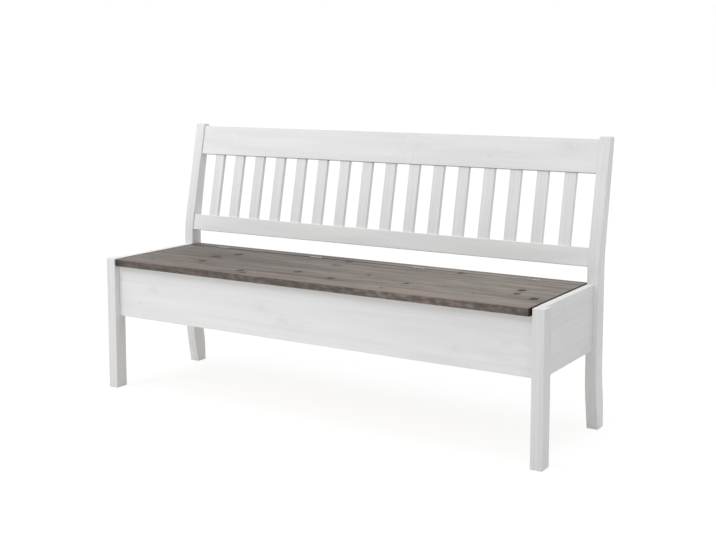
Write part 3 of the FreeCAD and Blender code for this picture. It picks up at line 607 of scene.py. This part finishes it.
def seat_shade(tree, colour, here):
    """The colour with painted light and shade: darker to the left, lighter behind the joint, dark along it.
    """
    behind = calc(tree, "SUBTRACT", xyz(tree, here)["Y"], float(HINGE_AXIS[1]))
    # Painted light: darker to the left, lighter to the right, and a painted highlight on the strip behind the
    # joint.
    shade = span(tree, xyz(tree, here)["X"], LEFT, RIGHT, PAINTED_LIGHT_LEFT, PAINTED_LIGHT_RIGHT)
    shade = calc(tree, "MULTIPLY", shade, span(tree, behind, 4 * MM, 10 * MM, 1.0, STRIP_PAINTED_LIGHT))
    # Painted shade along the open joint, fading towards the right.
    joint_shade = calc(tree, "MULTIPLY", span(tree, calc(tree, "ABSOLUTE", behind), 7.5 * MM, 4.5 * MM),
                    span(tree, xyz(tree, here)["X"], 0.5, -0.2, 0.45, 1.0))
    return blend(tree, joint_shade, vector(tree, "MULTIPLY", colour, shade), PAINTED_JOINT_SHADE)


def seat_edges(tree, colour, place, here):
    """The colour made darker where the surface turns away from level, and at both ends."""
    along, way = xyz(tree, here)["X"], facing(tree)
    edge = span(tree, calc(tree, "ABSOLUTE", way["Z"]), 0.85, 0.35)
    blots = span(tree, clouds(tree, place, (34.0, 70.0, 70.0), 2.0, 0.6), 0.30, 0.66, 0.20, 0.85)
    colour = blend(tree, calc(tree, "MULTIPLY", edge, blots), colour, ON_EDGE)
    # Painted shadow on the edges at the left front corner.
    corner = calc(tree, "MULTIPLY", edge, span(tree, along, -0.74, -0.785, 0.0, 0.8))
    colour = blend(tree, corner, colour, PAINTED_CORNER_SHADOW)
    end_grain = span(tree, calc(tree, "ABSOLUTE", way["X"]), 0.3, 0.8, 0.0, 0.95)
    from_end = calc(tree, "SUBTRACT", seat_end, calc(tree, "ABSOLUTE", along))
    end_grain = calc(tree, "MAXIMUM", end_grain, span(tree, from_end, 5.5 * MM, 2.5 * MM, 0.0, 0.85))
    return blend(tree, end_grain, colour, ON_END)


# %% [markdown]
# With those steps at hand the finish is short: grain, streaks, knots, painted light and shade, edges. The
# lacquer is dull. Its roughness follows the finest fibres, and its relief the rings as well.

# %% Stained seat pine
def seat_stain():
    material, tree = new_tree("Stained seat pine")
    place, here = wood_place(tree), bench_place(tree)
    halo, heart, knot_wood = seat_knots(tree, here)
    ring = pine_rings(tree, place, halo, 0.017, 4.5)
    fine = clouds(tree, place, (9.0, 330.0, 330.0), 2.0, 0.6)
    colour = seat_streaks(tree, place, ring, fine)
    colour = blend(tree, calc(tree, "MULTIPLY", halo, 0.35), colour, STAIN["near_knot"])
    # Painted light and shade along the seat and its joint.
    colour = seat_shade(tree, blend(tree, heart, colour, knot_wood), here)
    # The edges, with a painted shadow at the left front corner.
    colour = seat_edges(tree, colour, place, here)
    height = calc(tree, "MULTIPLY_ADD", ring, -0.5, calc(tree, "MULTIPLY", fine, 0.6))
    surface(tree, colour, span(tree, fine, 0.2, 0.8, 0.52, 0.68), height, depth=0.25 * MM, specular=0.25)
    return material


# %% [markdown]
# ### Bare pine and plywood
# Inside the chest nothing is painted. Battens are bare pine: honey yellow, with darker rings. The bottom is
# a thin sheet of plywood, paler and with a broad, lazy figure, because its veneer is peeled off the log.

# %% Bare pine, plywood
BARE_KNOT = (0.20, 0.10, 0.045, 1)


def bare_wood(name, light, dark, pitch, wander, strength):
    """Unpainted wood from light to dark, with rings of a pitch in metres and of a strength up to 1."""
    material, tree = new_tree(name)
    place = wood_place(tree)
    reach, held = scattered_knots(tree, place, (0.30, 0.14, 0.12), 0.5)
    halo = calc(tree, "MULTIPLY", span(tree, reach, 0.024, 0.0), held)
    heart = calc(tree, "MULTIPLY", span(tree, reach, 0.006, 0.003), held)
    ring = pine_rings(tree, place, halo, pitch, wander)
    streak = clouds(tree, place, (1.6, 42.0, 42.0), 3.0, 0.6)
    fibre = clouds(tree, place, FIBRE, 2.0, 0.6)
    colour = blend(tree, calc(tree, "MULTIPLY", ring, strength), light, dark)
    colour = blend(tree, calc(tree, "MULTIPLY", streak, 0.25), colour, dark)
    colour = blend(tree, calc(tree, "MULTIPLY", heart, 0.8), colour, BARE_KNOT)
    surface(tree, colour, span(tree, fibre, 0.2, 0.8, 0.6, 0.72), fibre, depth=0.2 * MM, specular=0.3)
    return material


# %% [markdown]
# ### Zinc-plated steel
# Hinges and screws are zinc-plated. Plated metal is never a clean mirror: it has a fine crystal pattern and
# rubbed places, so its roughness varies over a millimetre or two.

# %% Zinc-plated steel
def zinc(name, bright, dull, smooth, rough):
    """Zinc from bright to dull, with a roughness between smooth and rough."""
    material, tree = new_tree(name)
    here = bench_place(tree)
    crystal = add(tree, "TexVoronoi", {"feature": "F1"}, Vector=here, Scale=700.0, Randomness=1.0)
    rubbed = clouds(tree, here, (260.0, 260.0, 260.0), 3.0, 0.6)
    colour = blend(tree, span(tree, rubbed, 0.3, 0.8), bright, dull)
    mixed = calc(tree, "MULTIPLY_ADD", crystal.outputs["Distance"], 0.3, rubbed)
    roughness = span(tree, mixed, 0.3, 1.0, smooth, rough)
    surface(tree, colour, roughness, rubbed, depth=0.04 * MM, specular=0.5, metallic=1.0)
    return material


finishes = {
    "white_painted_pine": white_paint(),
    "stained_seat_pine": seat_stain(),
    "bare_pine": bare_wood("Bare pine", (0.62, 0.47, 0.31, 1), (0.43, 0.27, 0.13, 1), 0.009, 2.6, 0.6),
    "plywood": bare_wood("Plywood", (0.68, 0.585, 0.45, 1), (0.55, 0.44, 0.31, 1), 0.045, 2.0, 0.5),
    "hinge_steel": zinc("Zinc-plated hinge", (0.37, 0.36, 0.345, 1), (0.24, 0.235, 0.225, 1), 0.38, 0.56),
    "screw_steel": zinc("Zinc-plated screw", (0.50, 0.48, 0.42, 1), (0.36, 0.34, 0.30, 1), 0.26, 0.45),
}
print("finishes:", ", ".join(finishes))

# %% [markdown]
# ## Boards
# Every straight board stands in for the plain solid of the same name. Its grain runs along its longest side.
# Tenons are out of sight once the bench is glued up, so a board is drawn only between its shoulders. Each
# board takes the next serial number, and its wood coordinate moves on by that many steps of SHIFT.

# %% Dress one board
GRAIN = {"x": (0, 1, 2), "y": (1, 0, 2), "z": (2, 0, 1)}
SHIFT = np.array([3.71, 1.37, 0.83])
serial = iter(range(1, 200))


def dress(name, shape, grain, tone=None, upright=None):
    """Make the wooden piece that stands for node name.

    The wood coordinate is taken from the upright points if the piece itself leans."""
    points, faces, flat = shape
    piece = make_piece(f"{name}_wood", points, faces, flat, finishes[slot_of[name]])
    wood = (points if upright is None else upright)[:, GRAIN[grain]] + SHIFT * next(serial)
    board = piece.data.attributes.new("board", "FLOAT_VECTOR", "POINT")
    board.data.foreach_set("vector", wood.astype(np.float32).ravel())
    if tone is not None:
        shade = piece.data.attributes.new("tone", "FLOAT", "POINT")
        shade.data.foreach_set("value", np.full(len(points), tone, np.float32))
    return carry(piece, name)


def dress_box(name, grain, radius, low=None, high=None, tone=None):
    """A board in the box of its node, or in a smaller box where its tenons are left out."""
    corner_low, corner_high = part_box(name)
    return dress(name, eased_box(low or corner_low, high or corner_high, radius), grain, tone)


# %% [markdown]
# The legs and the end panels took the paint a shade greyer than the wide front board. That is their tone.

# %% Front legs, aprons, end panels
LEG_TONE, APRON_TONE, PANEL_TONE, POST_TONE = -0.10, -0.01, -0.08, -0.03
for name in ("front_leg_left", "front_leg_right"):
    dress_box(name, "z", LEG_EDGE, tone=LEG_TONE)
for name in ("front_apron", "rear_apron"):
    low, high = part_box(name)
    dress_box(name, "x", BOARD_EDGE / 2, (-inner, low.y, low.z), (inner, high.y, high.z), tone=APRON_TONE)
leg_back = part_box("front_leg_right")[1].y
for name in ("end_panel_left", "end_panel_right"):
    low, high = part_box(name)
    shoulders = (low.x, leg_back, low.z), (high.x, post_front, high.z)
    dress_box(name, "y", BOARD_EDGE / 2, *shoulders, tone=PANEL_TONE)
print("legs, aprons and end panels dressed")

# %% [markdown]
# ## Rear posts
# A rear post is one wide board sawn to shape: the foot sweeps back, the middle is upright beside the box,
# and the top leans back and tapers. Seen from the side it is a chain of straight runs joined by long arcs:
# its corners are given from the heel up the rear side and down the front, each with the radius of its arc.

# %% Rear posts
HEEL_BACK, HEEL_TOP, FOOT_TOP = 18 * MM, 75 * MM, 175 * MM
TOE_BACK, TOE_TOP = 24.5 * MM, 139 * MM
REAR_LEAN, REAR_LEAN_START = math.radians(9.8), 552.5 * MM
POST_BENDS = np.array([2, 530, 530, 500, 12, 4, 400, 560, 2]) * MM
heel = post_back + HEEL_BACK
post_corners = [
    (heel, 0), (heel, HEEL_TOP), (post_back, FOOT_TOP), (post_back, REAR_LEAN_START),
    (post_back + (top - REAR_LEAN_START) * math.tan(REAR_LEAN), top),
    (post_front + (top - LEAN_START) * math.tan(LEAN), top),
    (post_front, LEAN_START), (post_front, TOE_TOP), (post_front + TOE_BACK, 0),
]
post_outline = bent_line(post_corners, POST_BENDS)
for name in ("rear_post_left", "rear_post_right"):
    low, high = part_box(name)
    dress(name, sawn_board(post_outline, low.x, high.x, LEG_EDGE), "z", tone=POST_TONE)
print(f"each post's outline has {len(post_outline)} points")

# %% [markdown]
# ## Backrest
# Rails and slats are straight boards in a leaning plane. They are worked out upright, with one axis back
# from the plane and one up along it, and then turned about the bend of the posts.

# %% Rails and slats
def leaned(points):
    """Turn upright points (x, back, up) into the leaning plane of the backrest."""
    x, back, up = points.T
    y = post_front + back * math.cos(LEAN) + up * math.sin(LEAN)
    z = LEAN_START - back * math.sin(LEAN) + up * math.cos(LEAN)
    return np.column_stack([x, y, z])


def dress_leaning(name, across, back, up, grain):
    """A board of the backrest between two values each of x, back and up."""
    upright, faces, flat = eased_box(*zip(across, back, up), BOARD_EDGE)
    return dress(name, (leaned(upright), faces, flat), grain, upright=upright)


RAIL_BACK, SLAT_BACK = np.array([6, 28]) * MM, np.array([9.5, 24.5]) * MM
SLAT_TENON = 12 * MM
dress_leaning("lower_rail", (-inner, inner), RAIL_BACK, LOWER_RAIL, "x")
dress_leaning("top_rail", (-inner, inner), RAIL_BACK, TOP_RAIL, "x")
slats = sorted(name for name in nodes if name.startswith("back_slat"))
for name in slats:
    low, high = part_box(name)
    reach = (LOWER_RAIL[1] - SLAT_TENON, TOP_RAIL[0] + SLAT_TENON)
    dress_leaning(name, (low.x, high.x), SLAT_BACK, reach, "z")
print(len(slats), "slats between two rails")

# %% [markdown]
# ## Seat
# The front board has the same soft edge as the legs along its front. Between glued boards the edges are only
# broken by sandpaper, under half a millimetre, which is enough for a fine line to show. The open joint
# between lid and hinge strip has the soft edge again, so that fingers don't catch on it. One rounded box
# can't have two radii, so each seat board is a drawn outline that is carried along the bench.

# %% Seat boards and hinge strip
SEAT_BOARDS = (  # name, radius in front, radius behind, tone
    ("lid_board_1", SEAT_EDGE, SEAM_EDGE, 0.9),
    ("lid_board_2", SEAM_EDGE, SEAM_EDGE, -0.2),
    ("lid_board_3", SEAM_EDGE, SEAM_EDGE, 0.4),
    ("lid_board_4", SEAM_EDGE, SEAM_EDGE, -0.6),
    ("lid_board_5", SEAM_EDGE, SEAM_EDGE, 0.1),
    ("lid_board_6", SEAM_EDGE, SEAT_EDGE, 0.3),
    ("hinge_strip", SEAT_EDGE, BOARD_EDGE, 0.1),
)
for name, front_edge, back_edge, tone in SEAT_BOARDS:
    low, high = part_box(name)
    section = [(low.y, low.z), (high.y, low.z), (high.y, high.z), (low.y, high.z)]
    section = bent_line(section, [front_edge, back_edge, back_edge, front_edge], 5)
    dress(name, sawn_board(section, low.x, high.x, SEAM_EDGE), "x", tone)
print(len(SEAT_BOARDS), "boards in the seat")

# %% [markdown]
# The pieces inside the chest are sawn and only just broken at the edges. The longest side of each box tells
# which way its grain runs.

# %% Parts inside the chest
inside = [name for name in nodes if slot_of[name] in ("bare_pine", "plywood")]
for name in inside:
    low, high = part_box(name)
    lengths = dict(zip("xyz", high - low))
    dress_box(name, max(lengths, key=lengths.get), ROUGH_EDGE)
print(len(inside), "pieces inside the chest")

# %% [markdown]
# ## Hinges
# Four butt hinges. Each leaf is a stamped plate let into the edge of the wood, and its end is curled round
# the pin: the middle knuckle belongs to the lid, the outer two to the fixed strip. The knuckles are bored a
# little wider than the pin, so that the lid turns about it without touching.

# %% Hinge shapes
HINGE_MIDDLES = np.array([-630, -210, 210, 630]) * MM
HINGE_HALF, LEAF_PLAY, LEAF_BACK, LEAF_DROP = 25 * MM, 0.3 * MM, 1.9 * MM, 20 * MM
KNUCKLE, KNUCKLE_ROOM, PIN, BORE = 3 * MM, 3.5 * MM, 1.5 * MM, 1.55 * MM
GAP, STRAP_BITE, STRAP_DROP = 0.15 * MM, 0.4 * MM, 1 * MM
PLATE_EDGE, KNUCKLE_BEVEL, PIN_BEVEL = 0.3 * MM, 0.35 * MM, 0.4 * MM
pitch = 2 * HINGE_HALF / 3


def barrel(length, radius, bevel, bore=None):
    """A turned cylinder with small bevels, lying along +X from the origin, with a bore if one is given."""
    hub = bore or radius * 0.5
    profile = [
        (0, hub), (0, radius - bevel), (bevel / 3, radius - bevel / 3), (bevel, radius),
        (length - bevel, radius), (length - bevel / 3, radius - bevel / 3), (length, radius - bevel),
        (length, hub),
    ]
    return moved(turned_ring(profile) if bore else turned(profile), (0, 0, 0), (1, 0, 0))


def hinge_leaf(side, own):
    """One leaf at a hinge axis on the origin; own lists its knuckles, counted from the left."""
    near, far = sorted((side * LEAF_PLAY, side * LEAF_BACK))
    shapes = [eased_box((-HINGE_HALF, near, -LEAF_DROP), (HINGE_HALF, far, -KNUCKLE_ROOM), PLATE_EDGE, 2)]
    strap_low, strap_high = -KNUCKLE_ROOM - STRAP_DROP, -BORE - STRAP_BITE
    for knuckle in own:
        start = -HINGE_HALF + knuckle * pitch + GAP
        end = start + pitch - 2 * GAP
        shapes.append(eased_box((start, near, strap_low), (end, far, strap_high), PLATE_EDGE, 2))
        shapes.append(moved(barrel(end - start, KNUCKLE, KNUCKLE_BEVEL, BORE), (start, 0, 0)))
    return joined(shapes)


def place_all(name, shape, places, heading=(0, 0, 1)):
    """Put copies of a shape at several places and let them stand for a node."""
    piece = make_piece(f"{name}_steel", *joined([moved(shape, place, heading) for place in places]),
                       finishes[slot_of[name]])
    return carry(piece, name)


# %% [markdown]
# All leaves of one side are one piece, and so are the four pins.

# %% Hinges in place
hinge_places = [(middle, HINGE_AXIS[1], HINGE_AXIS[2]) for middle in HINGE_MIDDLES]
place_all("hinge_leaves_lid", hinge_leaf(-1, (1,)), hinge_places)
place_all("hinge_leaves_strip", hinge_leaf(1, (0, 2)), hinge_places)
pin = barrel(2 * HINGE_HALF, PIN, PIN_BEVEL)
place_all("hinge_pins", (pin[0] - (HINGE_HALF, 0, 0), pin[1], pin[2]), hinge_places)
print(len(HINGE_MIDDLES), "hinges at x =", HINGE_MIDDLES)

# %% [markdown]
# ## Screws
# Countersunk wood screws with a cross slot. The slot is pressed into the head: two grooves that are deepest
# in the middle. The heads stand a hair above the wood, as hand-driven screws do.

# %% Screw shape
GROOVE_HALF, GROOVE_DEPTH = 0.16, 0.8


def screw(head, sink, shank, length, proud):
    """A countersunk screw along +Z with its head, of radius head, at the origin.

    The head is a slight dome lowered by the deeper of two crossed grooves, each
    depth * (1 - |across| / half width), fading out towards the rim."""
    rim = [(-length, 0.1 * shank), (-length + 2 * shank, shank), (-sink, shank), (-0.12 * head, 0.93 * head),
           (-0.04 * head, head), (0, head), (0.5 * proud, 0.985 * head), (0.8 * proud, 0.95 * head),
           (proud, 0.9 * head)]
    dome = [(proud * (1 + 0.4 * (0.81 - share ** 2)), share * head) for share in np.linspace(0.85, 0.04, 16)]

    def cross(x, y, row):
        half = GROOVE_HALF * head
        groove = np.clip(np.maximum(1 - np.abs(x) / half, 1 - np.abs(y) / half), 0, 1)
        fade = np.clip(1.6 - 2.4 * np.hypot(x, y) / head, 0, 1)
        return np.where(row >= len(rim), groove * fade * sink * GROOVE_DEPTH, 0)

    points, faces, flat = turned(rim + dome, 48, cross)
    return points * (1, -1, -1), faces, flat


leaf_screw = screw(head=2.8 * MM, sink=1.3 * MM, shank=1.5 * MM, length=16 * MM, proud=0.1 * MM)
wood_screw = screw(head=4 * MM, sink=2.4 * MM, shank=2 * MM, length=35 * MM, proud=0.2 * MM)
print(f"a screw takes {len(wood_screw[0])} points")

# %% [markdown]
# Two screws hold each leaf, one holds each batten to every second seat board, three hold the ledger to the
# fixed strip, and two hold every corner batten to the front or rear board of the box.

# %% Screws in place
LEAF_SCREW_DROP, LEAF_SCREW_REACH = 12 * MM, 15 * MM
BATTEN_MIDDLES, LEDGER_SCREWS = (-520 * MM, 0, 520 * MM), (-420 * MM, 0, 420 * MM)
CORNER_SCREW_INSET = 30 * MM
for name, side in (("hinge_screws_lid", -1), ("hinge_screws_strip", 1)):
    face, height = HINGE_AXIS[1] + side * LEAF_PLAY, HINGE_AXIS[2] - LEAF_SCREW_DROP
    ends = [middle + reach for middle in HINGE_MIDDLES for reach in (-LEAF_SCREW_REACH, LEAF_SCREW_REACH)]
    place_all(name, leaf_screw, [(x, face, height) for x in ends], (0, side, 0))

batten_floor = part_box("lid_batten_1")[0].z
boards = [sum(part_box(f"lid_board_{number}")[end].y for end in (0, 1)) / 2 for number in (2, 4, 6)]
place_all("lid_batten_screws", wood_screw, [(x, y, batten_floor) for x in BATTEN_MIDDLES for y in boards])
low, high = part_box("hinge_strip_ledger")
place_all("hinge_strip_screws", wood_screw, [(x, (low.y + high.y) / 2, low.z) for x in LEDGER_SCREWS])

low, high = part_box("corner_batten_front_right")
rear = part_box("corner_batten_rear_right")[0].y
middle = (low.x + high.x) / 2
heights = (low.z + CORNER_SCREW_INSET, high.z - CORNER_SCREW_INSET)
shapes = [moved(wood_screw, (x, high.y, z), (0, -1, 0)) for x in (-middle, middle) for z in heights]
shapes += [moved(wood_screw, (x, rear, z), (0, 1, 0)) for x in (-middle, middle) for z in heights]
carry(make_piece("corner_screws_steel", *joined(shapes), finishes["screw_steel"]), "corner_screws")
print(len(shapes), "screws in the corners")

# %% [markdown]
# ## Studio
# A white floor runs to the horizon under an even white sky. Light that bounces meets a plain white floor. A
# ray from the camera meets a darker one that glows by itself, which makes it an even white in the picture
# and still lets the bench throw its shadow.

# %% Floor
FLOOR_HALF, FLOOR_GLOW = 60.0, 0.86
FLOOR_WHITE, FLOOR_DARK = (0.90, 0.90, 0.90, 1), (0.18, 0.18, 0.18, 1)


def seen_directly(tree):
    """1 for rays from the camera and for those that metal and glass show, 0 for light that bounces."""
    ray = add(tree, "LightPath")
    seen = calc(tree, "MAXIMUM", ray.outputs["Is Camera Ray"], ray.outputs["Is Glossy Ray"])
    return calc(tree, "MAXIMUM", seen, ray.outputs["Is Transmission Ray"])


def floor_finish():
    material, tree = new_tree("Studio floor")
    seen = seen_directly(tree)
    matt = add(tree, "BsdfDiffuse", Color=blend(tree, seen, FLOOR_WHITE, FLOOR_DARK))
    strength = calc(tree, "MULTIPLY", seen, FLOOR_GLOW)
    glow = add(tree, "Emission", Color=(1, 1, 1, 1), Strength=strength)
    both = add(tree, "AddShader", i0=matt.outputs[0], i1=glow.outputs[0])
    add(tree, "OutputMaterial", Surface=both.outputs[0])
    return material


corners = np.array([(-1, -1, 0), (1, -1, 0), (1, 1, 0), (-1, 1, 0)]) * FLOOR_HALF
floor = make_piece("studio_floor", corners, [(0, 1, 2, 3)], [True], floor_finish())
print(f"floor of {2 * FLOOR_HALF:.0f} m square")

# %% [markdown]
# The sky looks white too, but lights the bench with AMBIENT only. A light panel high on the front left models
# the boards, a soft lamp overhead lifts the seat, and a weak one from the right opens the shadows inside the
# legs.

# %% Sky and lamps
AMBIENT = 0.60
world = bpy.data.worlds.new("Studio")
bpy.context.scene.world = world
world.use_nodes = True
sky = world.node_tree
sky.nodes.clear()
strength = calc(sky, "MULTIPLY_ADD", seen_directly(sky), 1 - AMBIENT, AMBIENT)
light = add(sky, "Background", Color=(1, 1, 1, 1), Strength=strength)
add(sky, "OutputWorld", Surface=light.outputs[0])


def new_lamp(name, kind, power, heading, place):
    """A lamp at a place that shines along a heading."""
    data = bpy.data.lights.new(name, kind)
    data.energy = power
    lamp = put(name, data)
    lamp.rotation_euler = Vector(heading).to_track_quat("-Z", "Y").to_euler()
    lamp.location = place
    return lamp


def distant_lamp(name, heading, spread, power):
    """A lamp so far away that its light is even over the whole bench; spread softens its shadows."""
    lamp = new_lamp(name, "SUN", power, heading, Vector(heading).normalized() * -5)
    lamp.data.angle = math.radians(spread)


def broad_lamp(name, place, aim, side, power):
    """A square light panel that stands near the bench, so that its light falls off along it."""
    lamp = new_lamp(name, "AREA", power, Vector(aim) - Vector(place), place)
    lamp.data.shape, lamp.data.size = "SQUARE", side
    lamp.visible_camera = False


broad_lamp("Key panel", place=(-1.6, -2.4, 2.7), aim=(0, 0, 0.4), side=1.6, power=34)
distant_lamp("Overhead lamp", heading=(0, 0.1, -1), spread=32, power=0.88)
distant_lamp("Side lamp", heading=(-0.72, 0.69, -0.04), spread=40, power=0.12)
print("lamps:", ", ".join(lamp.name for lamp in bpy.data.lights))

# %% [markdown]
# The camera stands where the photographer stood: right of the bench, at a grown person's chest height. It
# looks down a little, and the shift of the lens does the rest, so that upright lines stay nearly upright.

# %% Camera
CAMERA_PLACE, LOOK_DOWN, LOOK_LEFT = (2.0673, -3.2299, 1.1431), 6.278, 31.949
lens = bpy.data.cameras.new("Camera")
lens.lens, lens.sensor_width, lens.shift_y = 57.592, 36, -0.1047
camera = put("Camera", lens)
camera.location = CAMERA_PLACE
camera.rotation_euler = (math.radians(90 - LOOK_DOWN), 0, math.radians(LOOK_LEFT))
bpy.context.scene.camera = camera
bpy.context.scene.view_settings.view_transform = "Standard"
print(f"camera {Vector(CAMERA_PLACE).length:.2f} m from the middle of the floor under the bench")
